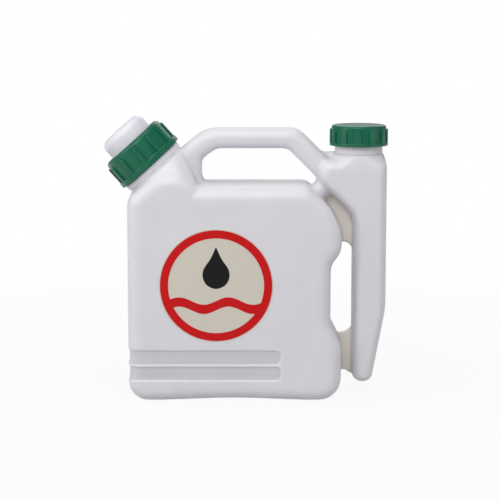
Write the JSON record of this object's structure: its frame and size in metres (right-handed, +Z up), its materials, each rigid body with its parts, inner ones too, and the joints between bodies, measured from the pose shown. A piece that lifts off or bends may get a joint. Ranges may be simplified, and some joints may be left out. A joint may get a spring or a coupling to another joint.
{
  "type": "fuel mixing bottle",
  "caption": "Blow-moulded fuel mixing bottle: a tank with handle and tilted capped filler, beside a tall capped oil chamber, with a round front label.",
  "frame": {"origin": "middle of the bounding box's footprint, on the surface the bottle stands on", "axes": "+Z up, +X along the tank from the filler to the oil chamber, +Y from the label side to the back"},
  "size_m": [0.2446, 0.0804, 0.2431],
  "materials": {
    "natural_hdpe": "milky natural polyethylene, soft sheen",
    "green_cap_plastic": "moulded dark green polypropylene, satin gloss",
    "white_cap_plastic": "milky white polyethylene, soft sheen",
    "seal_rubber": "grey fuel-proof rubber",
    "liner_foam": "white foamed polyethylene",
    "label_cream": "cream printed plastic film, light sheen",
    "label_red": "red print",
    "label_black": "black print"
  },
  "bodies": {
    "bottle": {"bottle": "natural_hdpe", "label_sheet": "label_cream", "label_red_print": "label_red", "label_black_drop": "label_black"},
    "filler_stopper": {"filler_stopper": "white_cap_plastic", "filler_gasket": "seal_rubber"},
    "filler_ring_cap": {"filler_ring_cap": "green_cap_plastic"},
    "oil_cap_liner": {"oil_cap_liner": "liner_foam"},
    "oil_cap": {"oil_cap": "green_cap_plastic"}
  },
  "joints": [
    {"name": "filler_lift", "type": "slide", "parent": "bottle", "child": "filler_stopper", "axis": [-0.6691, 0, 0.7431], "range_m": [0, 0.036]},
    {"name": "filler_ring_turn", "type": "hinge", "parent": "filler_stopper", "child": "filler_ring_cap", "pos_m": [-0.08233, 0.00022, 0.2018], "axis": [-0.6691, 0, 0.7431], "range_deg": [0, 2160]},
    {"name": "oil_lift", "type": "slide", "parent": "bottle", "child": "oil_cap_liner", "axis": [0, 0, 1], "range_m": [0, 0.03]},
    {"name": "oil_cap_turn", "type": "hinge", "parent": "oil_cap_liner", "child": "oil_cap", "pos_m": [0.09707, 0.00022, 0.2179], "axis": [0, 0, 1], "range_deg": [0, 2160]}
  ],
  "couplings": [
    {"joint": "filler_ring_turn", "follows": "filler_lift", "rad_per_m": 1047.2},
    {"joint": "oil_cap_turn", "follows": "oil_lift", "rad_per_m": 1256.6}
  ]
}
